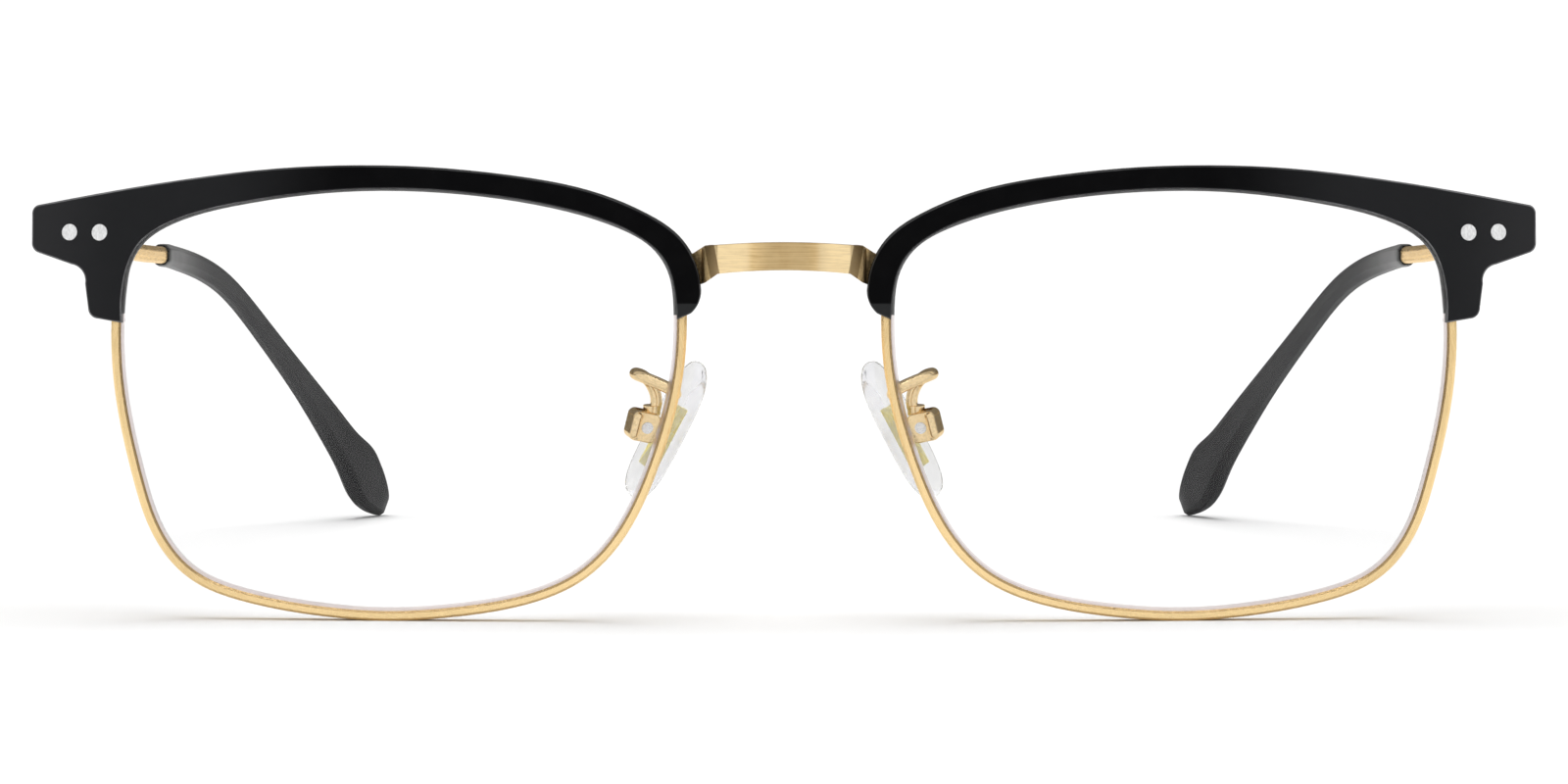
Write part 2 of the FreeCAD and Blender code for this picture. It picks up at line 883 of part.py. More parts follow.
BAR_STEPS = 4
# The block that squares off the front end of the bar, as its outer corners in x and z.
TRIM_LOW = (60.0, 30.0)
TRIM_HIGH = (75.0, 42.0)
# How much further the sleeve's bore goes than the core, as a share of the sleeve's length.
BORE_EXTRA = 0.01


def bar_sections():
    """Sections from the hinge, tapering to the slim bar, and on to the sleeve."""
    root = (size("temple_root_height"), size("temple_root_thickness"), size("temple_root_corner"))
    slim = (size("temple_height"), size("temple_thickness"), size("temple_corner"))
    taper = size("temple_taper")
    step = (size("sleeve_start") - taper) / BAR_STEPS
    stations = [(size("butt_gap"), root)]
    stations += [(taper + number * step, slim) for number in range(BAR_STEPS + 1)]
    sections = []
    for length, (height, thickness, corner) in stations:
        point = temple_point(length)
        along = (temple_point(length + 0.1) - point).normalize()
        sections.append(block_section(height, thickness, corner, point, *path_axes(along)))
    return sections


def make_temple():
    bar = feature("temple_bar", Part.makeLoft(bar_sections(), True, True))

    curve = tip_path()
    first = curve.FirstParameter
    span = curve.LastParameter - first
    core_curve = curve.copy()
    core_curve.segment(first, first + span * size("core_end"))
    core = feature("temple_core", round_bar(core_curve, size("core_radius")))
    bore_curve = curve.copy()
    bore_curve.segment(first, first + span * (size("core_end") + BORE_EXTRA))
    bore = feature("sleeve_bore", round_bar(bore_curve, size("core_radius") + size("core_fit")))

    trim_low = (TRIM_LOW[0], 0.0, TRIM_LOW[1])
    trim_high = (TRIM_HIGH[0], size("hinge_y") + size("butt_gap"), TRIM_HIGH[1])
    square_up = box("temple_trim", Placement(), trim_low, trim_high)
    relief = cylinder("temple_relief", hinge_frame, BARREL_SPACE, -THROUGH, THROUGH)
    knuckle = make_temple_hinge()
    solid = fuse("temple_solid", [bar, core])
    tools = fuse("temple_openings", [square_up, relief, knuckle])
    finish("temple_arm", cut("temple_arm", solid, tools))
    finish("temple_hinge", knuckle)

    sleeve_sections = []
    for place, *shape in SLEEVE:
        at = first + span * place
        axes = path_axes(curve.tangent(at)[0])
        sleeve_sections.append(sleeve_section(*shape, curve.value(at), *axes))
    sleeve = feature("temple_sleeve", Part.makeLoft(sleeve_sections, True, False))
    finish("temple_tip", cut("temple_tip", sleeve, bore))


def round_bar(curve, radius):
    """A round wire along a curve."""
    first = curve.FirstParameter
    ring = Part.makeCircle(radius, curve.value(first), curve.tangent(first)[0])
    return Part.Wire([curve.toShape()]).makePipeShell([Part.Wire([ring])], True, False)


def make_temple_hinge():
    """The temple's barrel with the leaf that is brazed inside the bar."""
    middle = size("barrel_middle") / 2.0
    barrel = cylinder("knuckle_barrel", hinge_frame, "sizes.barrel_radius", -middle, middle)
    gap = size("butt_gap")
    front = size("leaf_front")
    web = box("knuckle_web", hinge_frame, (0.0, gap, -middle), (size("leg_inner"), front + gap, middle))
    leaf_low = (size("leaf_inner"), front, -middle)
    leaf = box("knuckle_leaf", hinge_frame, leaf_low, (size("leaf_outer"), size("leaf_rear"), middle))
    solid = fuse("knuckle_solid", [barrel, web, leaf])
    bore = cylinder("knuckle_bore", hinge_frame, HINGE_BORE, -THROUGH, THROUGH)
    return cut("temple_hinge", solid, bore)


# ---------------------------------------------------------------- nose pad


def pad_frame():
    """At the pad's screw: x forward along the screw, y up the pad, z towards the nose."""
    lean = math.radians(size("pad_frontal_angle"))
    splay = math.radians(size("pad_splay_angle"))
    upward = Vector(-math.sin(lean), 0, math.cos(lean))
    to_nose = Vector(
        -math.cos(lean) * math.cos(splay), math.sin(splay), -math.sin(lean) * math.cos(splay)
    )
    forward = upward.cross(to_nose)
    to_nose = forward.cross(upward)
    point = Vector(size("pad_pin_x"), size("pad_pin_y"), size("pad_pin_z"))
    return Placement(point, Rotation(forward.normalize(), upward, to_nose.normalize(), "XYZ"))


def pad_outline(length, width):
    """A D-shaped oval, a little broader below the middle."""
    half = width / 2.0
    points = [
        (0.0, length / 2.0),
        (half * 0.72, length * 0.36),
        (half * 0.97, length * 0.05),
        (half * 0.94, -length * 0.22),
        (half * 0.68, -length * 0.42),
        (0.0, -length / 2.0),
    ]
    mirrored = [(-x, y) for x, y in reversed(points[1:-1])]
    curve = Part.BSplineCurve()
    curve.interpolate(Points=[Vector(x, y, 0) for x, y in points + mirrored], PeriodicFlag=True)
    return Part.Wire([curve.toShape()])


def make_nose_pad():
    frame = pad_frame()
    rise = size("pad_rise")
    back = size("pad_back")
    thickness = size("pad_thickness")
    levels = ((0.0, 0.93), (0.2, 1.0), (0.6, 1.0), (0.88, 0.86), (1.0, 0.6))
    sections = []
    for depth, scale in levels:
        ring = pad_outline(size("pad_length") * (0.5 + scale / 2.0), size("pad_width") * scale)
        ring.translate(Vector(0, rise, back + depth * thickness))
        sections.append(ring)
    pad = feature("pad_solid", Part.makeLoft(sections, True, False), frame)

    plate_half = size("core_plate_width") / 2.0
    plate_reach = size("core_plate_length") / 2.0
    plate_floor = back + size("core_cover")
    plate_top = plate_floor + size("core_plate_thickness")
    plate = box(
        "core_plate",
        frame,
        (-plate_half, size("core_rise") - plate_reach, plate_floor),
        (plate_half, size("core_rise") + plate_reach, plate_top),
    )
    tab_half = size("tab_thickness") / 2.0
    tab_reach = size("tab_height") / 2.0
    tab_low = (-tab_half, -tab_reach, -size("tab_far_side"))
    tab = box("core_tab", frame, tab_low, (tab_half, tab_reach, plate_top))
    pin_frame = frame.multiply(Placement(Vector(0, 0, 0), Rotation(Vector(0, 1, 0), 90)))
    hole_radius = "sizes.pad_screw_radius + sizes.pad_screw_fit"
    hole = cylinder("core_hole", pin_frame, hole_radius, -THROUGH, THROUGH)
    core_solid = fuse("core_solid", [plate, tab])
    core = cut("pad_core", core_solid, hole)
    finish("nose_pad", cut("nose_pad", pad, core_solid))
    finish("pad_core", core)

    box_frame = frame.multiply(Placement(Vector(), Rotation(Vector(1, 0, 0), size("box_tilt"))))
    half_box = size("box_width") / 2.0
    box_reach = size("box_height") / 2.0
    block = box(
        "box_block",
        box_frame,
        (-half_box, -box_reach, -size("box_far_side")),
        (half_box, box_reach, size("box_nose_side")),
    )
    doc.recompute()
    rounded = doc.addObject("Part::Fillet", "box_rounded")
    rounded.Base = block
    rounding = size("box_rounding")
    rounded.Edges = [(index, rounding, rounding) for index in range(1, 13)]
    half_slot = size("box_slot") / 2.0
    slot_low = (-half_slot, -THROUGH, -size("slot_depth"))
    slot = box("box_slot", box_frame, slot_low, (half_slot, THROUGH, THROUGH))
    screw_radius = "sizes.pad_screw_radius + sizes.rivet_fit"
    screw_hole = cylinder("box_hole", pin_frame, screw_radius, -THROUGH, THROUGH)
    step_face = half_box - size("box_step")
    step_low = (step_face, -THROUGH, -size("box_step_from"))
    step = box("box_step", box_frame, step_low, (THROUGH, THROUGH, THROUGH))
    head_floor = step_face - size("pad_screw_sink")
    head_top = step_face + size("pad_screw_proud")
    seat_radius = "sizes.pad_screw_head + sizes.rivet_fit"
    seat = cylinder("box_seat", pin_frame, seat_radius, head_floor, THROUGH)
    holder = cut("pad_box", rounded, fuse("box_openings", [slot, step, screw_hole, seat]))
    finish("pad_box", holder)

    shaft = cylinder("pad_shaft", pin_frame, "sizes.pad_screw_radius", -half_box, head_floor)
    head = cylinder("pad_head", pin_frame, "sizes.pad_screw_head", head_floor, head_top)
    finish("pad_screw", fuse("pad_screw", [shaft, head]))
    return box_frame, holder


# The arm's wire, from its brazed foot on the eyewire round the loop to the top of the stem.
ARM_LOOP = [
    (10.15, 2.5, 21.2),
    (11.9, 4.1, 22.2),
    (13.6, 4.9, 22.85),
    (14.0, 5.9, 23.0),
    (13.35, 7.0, 22.75),
    (12.45, 7.75, 21.7),
]
# How far the stem and its collar run on into the box before the box's shape is taken out.
ARM_BURIED = 0.3


def make_pad_arm(frame, eyewire, holder):
    """A wire looped out behind the lens, then down a stem into the pad's box."""
    top = frame.multVec(Vector(0, size("box_height") / 2.0, size("collar_towards_nose")))
    stem_top = Vector(*ARM_LOOP[-1])
    stem_end = top + (top - stem_top).normalize() * ARM_BURIED
    curve = Part.BSplineCurve()
    curve.interpolate([Vector(*point) for point in ARM_LOOP] + [stem_end])
    wire = feature("arm_wire", round_bar(curve, size("arm_radius")))
    collar_frame = Placement(top, Rotation(Vector(0, 0, 1), stem_top - top))
    collar_top = size("collar_height")
    collar = cylinder("arm_collar", collar_frame, "sizes.collar_radius", -ARM_BURIED, collar_top)
    solid = fuse("arm_solid", [wire, collar])
    finish("pad_arm", cut("pad_arm", solid, fuse("arm_seats", [eyewire, holder])))


# ---------------------------------------------------------------- assembly

eyewire = make_eyewire()
make_lens()
make_bridge(eyewire)
make_end_piece()
make_rivets()
make_hinge_hardware()
make_rim_lock(eyewire)
make_temple()
pad_place, pad_holder = make_nose_pad()
make_pad_arm(pad_place, eyewire, pad_holder)
finish("brow", make_brow())
finish("eyewire", eyewire)
doc.recompute()

# ---------------------------------------------------------------- checks and export

for obj in doc.Objects:
    if "Invalid" in obj.State or "Error" in obj.State:
        raise RuntimeError("%s did not recompute: %s" % (obj.Label, obj.State))

os.makedirs("parts", exist_ok=True)
for node, obj in sorted(finished.items()):
    shape = obj.Shape
    if shape.isNull() or not shape.isValid():
        raise RuntimeError("%s has no valid shape" % node)
    limits = shape.BoundBox
    print("%-22s %d solid  %9.2f mm3  x %6.2f..%6.2f  y %6.2f..%6.2f  z %6.2f..%6.2f" % (
        node, len(shape.Solids), shape.Volume,
        limits.XMin, limits.XMax, limits.YMin, limits.YMax, limits.ZMin, limits.ZMax))
    shape.exportStep("parts/%s.step" % node)
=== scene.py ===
"""Half rim eyeglasses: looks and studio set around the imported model. Lengths are in metres."""
import math
from functools import partial

import bpy
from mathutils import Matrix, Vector


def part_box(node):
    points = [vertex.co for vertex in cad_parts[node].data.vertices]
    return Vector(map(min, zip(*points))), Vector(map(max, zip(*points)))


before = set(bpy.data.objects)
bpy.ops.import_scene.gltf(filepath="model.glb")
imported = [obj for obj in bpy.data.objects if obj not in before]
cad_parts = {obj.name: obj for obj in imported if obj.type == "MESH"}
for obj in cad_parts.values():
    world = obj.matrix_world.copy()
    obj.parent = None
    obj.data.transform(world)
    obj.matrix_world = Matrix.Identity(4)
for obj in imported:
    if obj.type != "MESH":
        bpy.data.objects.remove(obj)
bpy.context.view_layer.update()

SIDES = ("left", "right")
MM = 0.001

# The camera stands level with the lenses, a little above them, and looks straight at the front.
CAMERA_DISTANCE = 0.6
CAMERA_RISE = math.radians(2.84)
CAMERA_AIM_HEIGHT = 21.54 * MM
CAMERA_LENS = 147.8
CAMERA_SENSOR = 36.0

GOLD_DEEP = (0.62, 0.41, 0.17)
GOLD_PALE = (0.95, 0.71, 0.37)
GOLD_SHADE = (0.17, 0.10, 0.04)
# The cast and bent small parts get a darker, greyer copy of the gold: painted shade for their darker
# reflections.
SMALL_GOLD_SHADED_DEEP = (0.50, 0.37, 0.20)
SMALL_GOLD_SHADED_PALE = (0.84, 0.65, 0.38)
# The folds of the bridge lean; this takes off what the lean adds at their mid height.
FOLD_FOOT = -0.2 * 33.7 * MM
# Above this height the eyewire and the lens edge are painted black, to match the brow over them; on the
# lens edge the black is painted shade.
BLACK_ABOVE = 28.6 * MM
RIM_BLACK = (0.006, 0.006, 0.006)

# The brow is painted from deep black at the nose to charcoal at the temples, by distance from the middle: a
# painted reflection of the room on its outer parts.
BROW_DEEP = (0.0010, 0.0010, 0.0014)
BROW_REFLECTED_CHARCOAL = (0.0175, 0.0180, 0.0195)
BROW_REFLECTED_LUG = (0.030, 0.030, 0.032)
BROW_SPECK = (0.030, 0.030, 0.031)
# Painted reflection on the brow's lower face by the nose.
BROW_FOOT_SHEEN = (0.026, 0.027, 0.028)
# Painted highlight for the brow's eased edges.
BROW_EDGE_HIGHLIGHT = (0.20, 0.20, 0.205)
BROW_FOOT_TOP = 29.7 * MM

# The sleeve runs back from its mouth; these are places along Y that bound its painted sheen near the bar
# and its painted shade towards the end.
SLEEVE_MOUTH = 14.0 * MM
SLEEVE_SHEEN_END = 24 * MM
SLEEVE_SHADE_START = 52 * MM
SLEEVE_SHADE_END = 66 * MM

# What metal and gloss see of the room, by direction.
ROOM_LOW = (0.62, 0.61, 0.60)
ROOM_HIGH = (1.1, 1.09, 1.07)
ROOM_AHEAD = (0.80, 0.79, 0.775)
ROOM_BEHIND = (0.22, 0.215, 0.21)
# What the camera sees of the room, and how much of it lights matt surfaces.
ROOM_SEEN = (1.12, 1.12, 1.12)
ROOM_FILL = (0.5, 0.5, 0.5)


# ---------------------------------------------------------------- node helpers


def new_material(name):
    """A material with its node tree and its Principled shader."""
    material = bpy.data.materials.new(name)
    material.use_nodes = True
    tree = material.node_tree
    return material, tree, tree.nodes["Principled BSDF"]


def settle(shader, **values):
    """Sets the shader's own sockets; the keyword's underscores stand for spaces."""
    for name, value in values.items():
        shader.inputs[name.replace("_", " ")].default_value = value


def maths(tree, operation, first, second=None, third=None):
    """A Math node; each operand is a socket or a number."""
    node = tree.nodes.new("ShaderNodeMath")
    node.operation = operation
    for socket, operand in zip(node.inputs, (first, second, third)):
        if operand is None:
            continue
        if isinstance(operand, (int, float)):
            socket.default_value = operand
        else:
            tree.links.new(operand, socket)
    return node.outputs[0]


def own_coordinates(tree, centre=(0, 0, 0)):
    """The piece's own coordinates in metres, split into x, y and z, from a centre."""
    coordinates = tree.nodes.new("ShaderNodeTexCoord").outputs["Object"]
    split = tree.nodes.new("ShaderNodeSeparateXYZ")
    tree.links.new(coordinates, split.inputs[0])
    return [maths(tree, "SUBTRACT", split.outputs[axis], centre[axis]) for axis in range(3)]


def joined(tree, x, y, z):
    """One vector from three sockets or numbers."""
    node = tree.nodes.new("ShaderNodeCombineXYZ")
    for socket, value in zip(node.inputs, (x, y, z)):
        if isinstance(value, (int, float)):
            socket.default_value = value
        else:
            tree.links.new(value, socket)
    return node.outputs[0]


def grain(tree, vector, size, detail=3.0, rough=0.5):
    """Noise from 0 to 1 with features of one size along each axis of the vector, in metres."""
    stretch = tree.nodes.new("ShaderNodeVectorMath")
    stretch.operation = "DIVIDE"
    tree.links.new(vector, stretch.inputs[0])
    stretch.inputs[1].default_value = size
    noise = tree.nodes.new("ShaderNodeTexNoise")
    noise.inputs["Scale"].default_value = 1.0
    noise.inputs["Detail"].default_value = detail
    noise.inputs["Roughness"].default_value = rough
    tree.links.new(stretch.outputs[0], noise.inputs["Vector"])
    return noise.outputs["Fac"]


def span(tree, value, low, high, to_low=0.0, to_high=1.0):
    """Maps a value from one range to another, smoothly and clamped."""
    node = tree.nodes.new("ShaderNodeMapRange")
    node.interpolation_type = "SMOOTHSTEP"
    tree.links.new(value, node.inputs["Value"])
    for name, number in (("From Min", low), ("From Max", high), ("To Min", to_low), ("To Max", to_high)):
        node.inputs[name].default_value = number
    return node.outputs["Result"]


def blended(tree, share, first, second):
    """A colour between two, each a socket or an RGB triple."""
    node = tree.nodes.new("ShaderNodeMix")
    node.data_type = "RGBA"
    for socket, colour in ((node.inputs[6], first), (node.inputs[7], second)):
        if isinstance(colour, tuple):
            socket.default_value = (*colour, 1.0)
        else:
            tree.links.new(colour, socket)
    if isinstance(share, float):
        node.inputs[0].default_value = share
    else:
        tree.links.new(share, node.inputs[0])
    return node.outputs[2]


def bumped(tree, shader, height, depth):
    """Raises the surface by a height map times a depth in metres."""
    bump = tree.nodes.new("ShaderNodeBump")
    bump.inputs["Strength"].default_value = 1.0
    bump.inputs["Distance"].default_value = depth
    tree.links.new(height, bump.inputs["Height"])
    tree.links.new(bump.outputs["Normal"], shader.inputs["Normal"])


# ---------------------------------------------------------------- materials


def around_lens(tree, side):
    """Coordinates that run round a lens: along the rim, outward and from front to back."""
    low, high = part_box(f"lens_{side}")
    centre = (low + high) / 2
    x, y, z = own_coordinates(tree, centre)
    angle = maths(tree, "ARCTAN2", z, x)
    square = maths(tree, "ADD", maths(tree, "POWER", x, 2.0), maths(tree, "POWER", z, 2.0))
    along = maths(tree, "MULTIPLY", angle, (high - low).x / 2)
    return joined(tree, along, maths(tree, "SQRT", square), y)


def plain_vector(tree):
    return joined(tree, *own_coordinates(tree))


def towards_front(tree):
    """How squarely the surface faces the front or the back, from 0 to 1."""
    normal = tree.nodes.new("ShaderNodeNewGeometry").outputs["Normal"]
    split = tree.nodes.new("ShaderNodeSeparateXYZ")
    tree.links.new(normal, split.inputs[0])
    return maths(tree, "ABSOLUTE", split.outputs[1])


def gold(name, vector_of, brush, contrast, roughness, level=0.75, ends=(GOLD_DEEP, GOLD_PALE)):
    """Champagne gold plating with fine brushing, drawn out along one axis of the vector."""
    material, tree, shader = new_material(name)
    vector = vector_of(tree)
    streaks = grain(tree, vector, brush)
    patches = grain(tree, plain_vector(tree), (0.9 * MM,) * 3, detail=2.0)
    share = maths(tree, "ADD", maths(tree, "MULTIPLY", streaks, 0.8), maths(tree, "MULTIPLY", patches, 0.2))
    tone = span(tree, share, 0.34, 0.64, level - contrast / 2, level + contrast / 2)
    colour = blended(tree, tone, *ends)
    tree.links.new(colour, shader.inputs["Base Color"])
    finish = span(tree, streaks, 0.3, 0.7, roughness - 0.06, roughness + 0.08)
    tree.links.new(finish, shader.inputs["Roughness"])
    bumped(tree, shader, streaks, 0.001 * MM)
    settle(shader, Metallic=1.0, Specular_Tint=(1.0, 0.88, 0.68, 1.0))
    return material, tree, shader, colour


def hidden_by_brow(tree):
    """1 above the brow's lower ends, 0 below them."""
    return span(tree, own_coordinates(tree)[2], BLACK_ABOVE, BLACK_ABOVE + 0.1 * MM)


def shaded_inner_corner(tree, side):
    """The eased corner of the eyewire that turns in towards the lens, darkened with painted shade for the
    shadowed gap between rim and lens.
    """
    low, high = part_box(f"lens_{side}")
    inward = tree.nodes.new("ShaderNodeVectorMath")
    inward.operation = "DOT_PRODUCT"
    x, _, z = own_coordinates(tree, (low + high) / 2)
    geometry = tree.nodes.new("ShaderNodeNewGeometry")
    tree.links.new(geometry.outputs["Normal"], inward.inputs[0])
    tree.links.new(joined(tree, x, 0.0, z), inward.inputs[1])
    turned_in = span(tree, inward.outputs["Value"], -2 * MM, -6 * MM)
    corner = band(tree, towards_front(tree), 0.25, 0.9, 0.08)
    return maths(tree, "MULTIPLY", maths(tree, "MULTIPLY", turned_in, corner), 0.65)


def rim_gold(side):
    """The eyewire: brushed along its run, with painted shade in its inner corner, and black where the brow
    covers it.
    """
    along_rim = partial(around_lens, side=side)
    brush = (8 * MM, 0.1 * MM, 0.1 * MM)
    material, tree, shader, colour = gold(f"rim_gold_{side}", along_rim, brush, 0.2, 0.22, 0.9)
    # Painted shade: the inner corner is darkened towards GOLD_SHADE.
    with_corner_shade = blended(tree, shaded_inner_corner(tree, side), colour, GOLD_SHADE)
    covered = blended(tree, hidden_by_brow(tree), with_corner_shade, RIM_BLACK)
    tree.links.new(covered, shader.inputs["Base Color"])
    return material


def band(tree, value, low, high, edge):
    """1 between two values, falling to 0 over an edge on each side."""
    rise = span(tree, value, low - edge, low)
    fall = span(tree, value, high, high + edge, 1.0, 0.0)
    return maths(tree, "MULTIPLY", rise, fall)


def bridge_gold():
    """The bridge: brushed from side to side, with painted shade in the middle and in its two folds, and a
    painted highlight towards its ends.
    """
    brush = (9.0 * MM, 0.13 * MM, 0.13 * MM)
    material, tree, shader, colour = gold("bridge_gold", plain_vector, brush, 0.8, 0.34)
    x, _, z = own_coordinates(tree)
    outward = maths(tree, "ABSOLUTE", x)
    # Painted shade: a darker band in the middle.
    shaded_middle = band(tree, x, -1.0 * MM, 1.6 * MM, 3.2 * MM)
    leaning = maths(tree, "SUBTRACT", outward, maths(tree, "MULTIPLY", z, 0.2))
    first_fold = band(tree, leaning, FOLD_FOOT + 6.22 * MM, FOLD_FOOT + 7.1 * MM, 0.08 * MM)
    second_fold = band(tree, leaning, FOLD_FOOT + 7.6 * MM, FOLD_FOOT + 8.0 * MM, 0.08 * MM)
    # Painted reflection: the two folds are darkened.
    first_shade = maths(tree, "MULTIPLY", first_fold, 0.75)
    second_shade = maths(tree, "MULTIPLY", second_fold, 0.45)
    fold_shade = maths(tree, "MAXIMUM", first_shade, second_shade)
    shade = maths(tree, "MAXIMUM", maths(tree, "MULTIPLY", shaded_middle, 0.45), fold_shade)
    # Painted highlight: paler towards the ends.
    ends = band(tree, outward, 3.6 * MM, 6.3 * MM, 0.8 * MM)
    highlit = blended(tree, maths(tree, "MULTIPLY", ends, 0.45), colour, (1.0, 0.84, 0.54))
    tree.links.new(blended(tree, shade, highlit, GOLD_SHADE), shader.inputs["Base Color"])
    return material


def brow_black():
    """Satin black with painted reflection and highlight: deep black at the nose, charcoal at the temples, a
    paler painted foot by the nose, and painted highlights on its eased edges.
    """
    material, tree, shader = new_material("brow_black")
    x, y, z = own_coordinates(tree)
    vector = joined(tree, x, y, z)
    outward = maths(tree, "ABSOLUTE", x)
    # Painted reflection: charcoal towards the temples and the lug.
    inner = blended(tree, span(tree, outward, 40 * MM, 54 * MM), BROW_DEEP, BROW_REFLECTED_CHARCOAL)
    base = blended(tree, span(tree, outward, 62 * MM, 71 * MM), inner, BROW_REFLECTED_LUG)
    mottle = grain(tree, vector, (2.2 * MM,) * 3, detail=3.0)
    mottled = blended(tree, span(tree, mottle, 0.35, 0.75, 0.0, 0.04), base, BROW_SPECK)
    facing = towards_front(tree)
    # Painted highlight on the eased edges between front and sides, stronger on the outer parts.
    edge = maths(tree, "MULTIPLY", span(tree, facing, 0.93, 0.84), span(tree, facing, 0.30, 0.55))
    outer_parts = span(tree, outward, 44 * MM, 56 * MM, 0.35, 1.0)
    highlight_strength = maths(tree, "MULTIPLY", outer_parts, span(tree, mottle, 0.3, 0.7, 0.5, 1.0))
    edge_highlight = maths(tree, "MULTIPLY", edge, highlight_strength)
    # Painted reflection: the lower face by the nose is paler.
    low_part = span(tree, z, BROW_FOOT_TOP + 0.15 * MM, BROW_FOOT_TOP)
    foot_sheen = maths(tree, "MULTIPLY", low_part, span(tree, outward, 20 * MM, 16 * MM))
    with_foot_sheen = blended(tree, foot_sheen, mottled, BROW_FOOT_SHEEN)
    tree.links.new(blended(tree, edge_highlight, with_foot_sheen, BROW_EDGE_HIGHLIGHT), shader.inputs["Base Color"])
    tooth = grain(tree, vector, (0.09 * MM,) * 3, detail=2.0)
    tree.links.new(span(tree, mottle, 0.3, 0.7, 0.28, 0.36), shader.inputs["Roughness"])
    bumped(tree, shader, tooth, 0.0012 * MM)
    settle(shader, Specular_IOR_Level=0.05)
    return material


def sleeve_charcoal():
    """Dark grey moulded sleeve with a fine satin tooth, a painted sheen near the metal bar, painted shade
    at its end and a painted shadow in its mouth.
    """
    material, tree, shader = new_material("sleeve_charcoal")
    x, y, z = own_coordinates(tree)
    vector = joined(tree, x, y, z)
    mottle = grain(tree, vector, (4 * MM,) * 3, detail=1.0)
    body = blended(tree, span(tree, mottle, 0.3, 0.7), (0.040, 0.040, 0.041), (0.047, 0.047, 0.048))
    # Painted shade: darker towards the end.
    body = blended(tree, span(tree, y, SLEEVE_SHADE_START, SLEEVE_SHADE_END), body, (0.017, 0.017, 0.018))
    # Painted sheen: paler near the metal bar.
    start_sheen = band(tree, y, SLEEVE_MOUTH + 0.6 * MM, SLEEVE_SHEEN_END, 12 * MM)
    highlit = blended(tree, maths(tree, "MULTIPLY", start_sheen, 0.75), body, (0.17, 0.17, 0.168))
    # Painted shadow: a dark ring at the mouth.
    mouth_shadow = span(tree, y, SLEEVE_MOUTH + 0.4 * MM, SLEEVE_MOUTH)
    tree.links.new(blended(tree, mouth_shadow, highlit, (0.012, 0.012, 0.012)), shader.inputs["Base Color"])
    tooth = grain(tree, vector, (0.12 * MM,) * 3, detail=2.0)
    tree.links.new(span(tree, mottle, 0.3, 0.7, 0.38, 0.46), shader.inputs["Roughness"])
    bumped(tree, shader, tooth, 0.0006 * MM)
    settle(shader, Specular_IOR_Level=0.1)
    return material


def metal(name, dark, light, roughness, size, metallic=1.0):
    """Plain metal with fine turning marks."""
    material, tree, shader = new_material(name)
    marks = grain(tree, plain_vector(tree), size, detail=3.0)
    tree.links.new(blended(tree, span(tree, marks, 0.3, 0.7), dark, light), shader.inputs["Base Color"])
    finish = span(tree, marks, 0.3, 0.7, roughness - 0.05, roughness + 0.08)
    tree.links.new(finish, shader.inputs["Roughness"])
    bumped(tree, shader, marks, 0.003 * MM)
    settle(shader, Metallic=metallic)
    return material


def lens_clear():
    """Clear lens with its index set low, so that it hardly reflects, and a frosted, pinkish grey bevel with
    painted shade where the brow covers it.
    """
    material, tree, shader = new_material("lens_clear")
    smudge = grain(tree, plain_vector(tree), (9 * MM,) * 3, detail=5.0)
    bevel = span(tree, towards_front(tree), 0.88, 0.75)
    tree.links.new(maths(tree, "MULTIPLY", bevel, 0.45), shader.inputs["Roughness"])
    face = blended(tree, span(tree, smudge, 0.4, 0.8), (1.0, 1.0, 1.0), (0.99, 0.99, 0.992))
    # Painted shade: the bevel turns black where the black eyewire and brow surround it.
    frost = blended(tree, hidden_by_brow(tree), (0.62, 0.54, 0.52), (0.02, 0.02, 0.02))
    tree.links.new(blended(tree, bevel, face, frost), shader.inputs["Base Color"])
    settle(shader, Transmission_Weight=1.0, IOR=1.18)
    return material


def pad_silicone():
    """Clear soft pad with its index set low: pale grey, cloudy, and yellowish seen edge on."""
    material, tree, shader = new_material("pad_silicone")
    haze = grain(tree, plain_vector(tree), (1.5 * MM,) * 3, detail=4.0)
    body = blended(tree, span(tree, haze, 0.3, 0.7), (0.85, 0.85, 0.865), (0.76, 0.762, 0.785))
    weight = tree.nodes.new("ShaderNodeLayerWeight")
    weight.inputs["Blend"].default_value = 0.35
    rim = span(tree, weight.outputs["Facing"], 0.4, 0.85, 0.0, 0.6)
    tree.links.new(blended(tree, rim, body, (0.88, 0.87, 0.66)), shader.inputs["Base Color"])
    tree.links.new(span(tree, haze, 0.3, 0.7, 0.08, 0.15), shader.inputs["Roughness"])
    bumped(tree, shader, haze, 0.001 * MM)
    settle(shader, Transmission_Weight=0.9, IOR=1.1)
    return material


def washer_nylon():
    """Milky nylon."""
    material, tree, shader = new_material("washer_nylon")
    cloud = grain(tree, plain_vector(tree), (0.5 * MM,) * 3)
    tree.links.new(blended(tree, span(tree, cloud, 0.3, 0.7), (0.70, 0.69, 0.66), (0.80, 0.79, 0.76)),
                   shader.inputs["Base Color"])
    tree.links.new(span(tree, cloud, 0.3, 0.7, 0.4, 0.5), shader.inputs["Roughness"])
    return material


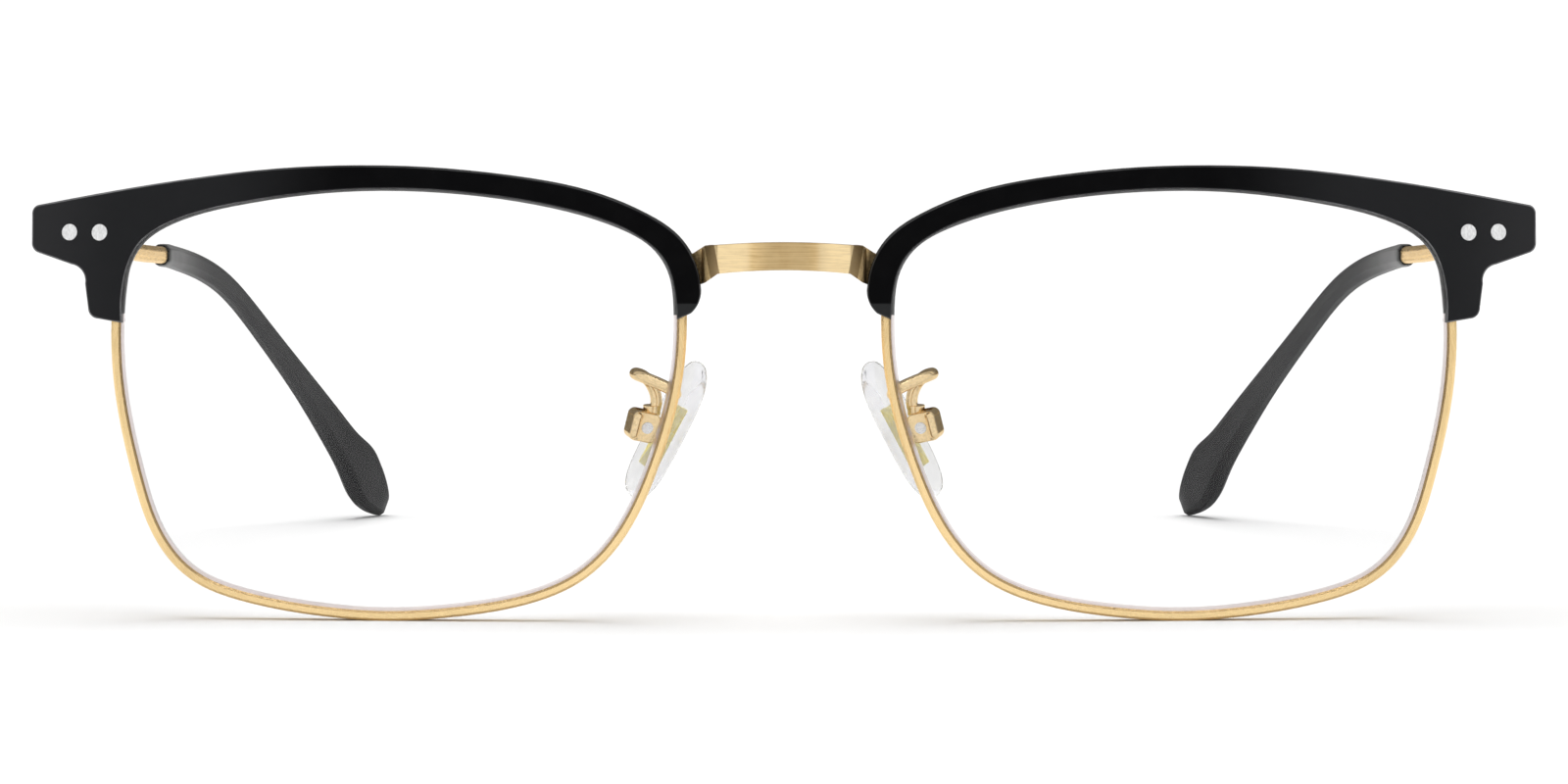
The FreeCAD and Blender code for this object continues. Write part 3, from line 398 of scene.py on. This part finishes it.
def dress_frame():
    """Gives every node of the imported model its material."""
    fine = 0.06 * MM
    long = 8.0 * MM
    temple_gold = gold("temple_gold", plain_vector, (fine, long, fine), 0.3, 0.3, 0.85)[0]
    # Painted shade: a darker, greyer copy of the gold for the small parts.
    shaded_small_ends = (SMALL_GOLD_SHADED_DEEP, SMALL_GOLD_SHADED_PALE)
    shaded_small_gold = gold("small_part_gold_shaded", plain_vector, (0.25 * MM,) * 3, 0.3, 0.16, 0.7, shaded_small_ends)[0]
    black = brow_black()
    sleeve = sleeve_charcoal()
    rivet_marks = (0.14 * MM, 0.5 * MM, 0.3 * MM)
    screw_marks = (0.2 * MM, 0.2 * MM, 0.04 * MM)
    silver = metal("rivet_silver", (0.74, 0.75, 0.76), (0.92, 0.93, 0.94), 0.4, rivet_marks)
    steel = metal("screw_steel", (0.55, 0.55, 0.56), (0.78, 0.78, 0.79), 0.26, screw_marks)
    core = metal("core_gold", (0.98, 0.80, 0.16), (1.0, 0.93, 0.36), 0.3, (0.3 * MM,) * 3, 0.1)
    glass = lens_clear()
    silicone = pad_silicone()
    nylon = washer_nylon()
    shared = {
        "brow": black, "brow_rivets": silver, "lens": glass, "rim_lock_upper": shaded_small_gold,
        "rim_lock_lower": shaded_small_gold, "rim_lock_screw": steel, "end_piece": shaded_small_gold,
        "hinge_screw": steel, "hinge_washers": nylon, "pad_arm": shaded_small_gold, "pad_box": shaded_small_gold,
        "pad_screw": steel, "nose_pad": silicone, "pad_core": core, "temple_arm": temple_gold,
        "temple_hinge": temple_gold, "temple_tip": sleeve,
    }
    finish = {"bridge": bridge_gold()}
    for side in SIDES:
        for name, material in shared.items():
            finish[f"{name}_{side}"] = material
        finish[f"eyewire_{side}"] = rim_gold(side)
    for name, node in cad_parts.items():
        node.data.materials.clear()
        node.data.materials.append(finish[name])
    for side in SIDES:
        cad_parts[f"nose_pad_{side}"].visible_shadow = False


# ---------------------------------------------------------------- studio


def add_floor():
    """A wide white table top."""
    size = 6.0
    bpy.ops.mesh.primitive_plane_add(size=size)
    floor = bpy.context.object
    floor.name = "floor"
    material, tree, shader = new_material("floor_white")
    cloud = grain(tree, plain_vector(tree), (0.05,) * 3)
    tree.links.new(blended(tree, span(tree, cloud, 0.3, 0.7), (0.895, 0.895, 0.895), (0.905, 0.905, 0.905)),
                   shader.inputs["Base Color"])
    settle(shader, Roughness=0.9, Specular_IOR_Level=0.05)
    floor.data.materials.append(material)


def add_world():
    """A white room whose reflection is bright ahead, at the sides and above, and dim behind."""
    world = bpy.data.worlds.new("studio")
    bpy.context.scene.world = world
    world.use_nodes = True
    tree = world.node_tree
    background = tree.nodes["Background"]
    direction = tree.nodes.new("ShaderNodeTexCoord").outputs["Generated"]
    split = tree.nodes.new("ShaderNodeSeparateXYZ")
    tree.links.new(direction, split.inputs[0])
    height = span(tree, split.outputs[2], 0.04, 0.5)
    sides = blended(tree, height, ROOM_LOW, ROOM_HIGH)
    ahead = span(tree, split.outputs[1], -0.55, -0.92)
    behind = span(tree, split.outputs[1], 0.05, 0.45)
    faced = blended(tree, ahead, sides, ROOM_AHEAD)
    reflection = blended(tree, behind, faced, ROOM_BEHIND)
    ray = tree.nodes.new("ShaderNodeLightPath")
    mirrored = maths(tree, "MULTIPLY", ray.outputs["Is Glossy Ray"], ray.outputs["Is Reflection Ray"])
    plain = blended(tree, ray.outputs["Is Diffuse Ray"], ROOM_SEEN, ROOM_FILL)
    tree.links.new(blended(tree, mirrored, plain, reflection), background.inputs["Color"])


def add_sun():
    """A very large soft overhead light, a little behind the object."""
    light = bpy.data.lights.new("overhead", "SUN")
    light.energy = 2.15
    light.angle = math.radians(50.0)
    lamp = bpy.data.objects.new("overhead", light)
    bpy.context.scene.collection.objects.link(lamp)
    lamp.rotation_euler = (math.radians(-6.0), 0.0, 0.0)
    lamp.visible_glossy = False


def add_camera():
    """The camera, straight in front and a little above."""
    front = min(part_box(f"lens_{side}")[0].y for side in SIDES)
    aim = Vector((0.0, front, CAMERA_AIM_HEIGHT))
    back = Vector((0.0, -math.cos(CAMERA_RISE), math.sin(CAMERA_RISE)))
    data = bpy.data.cameras.new("camera")
    data.lens = CAMERA_LENS
    data.sensor_width = CAMERA_SENSOR
    data.clip_start = 0.01
    data.clip_end = 20.0
    camera = bpy.data.objects.new("camera", data)
    bpy.context.scene.collection.objects.link(camera)
    camera.location = aim + back * CAMERA_DISTANCE
    camera.rotation_euler = (-back).to_track_quat("-Z", "Y").to_euler()
    bpy.context.scene.camera = camera


bpy.context.scene.view_settings.view_transform = "Standard"
dress_frame()
add_floor()
add_world()
add_sun()
add_camera()
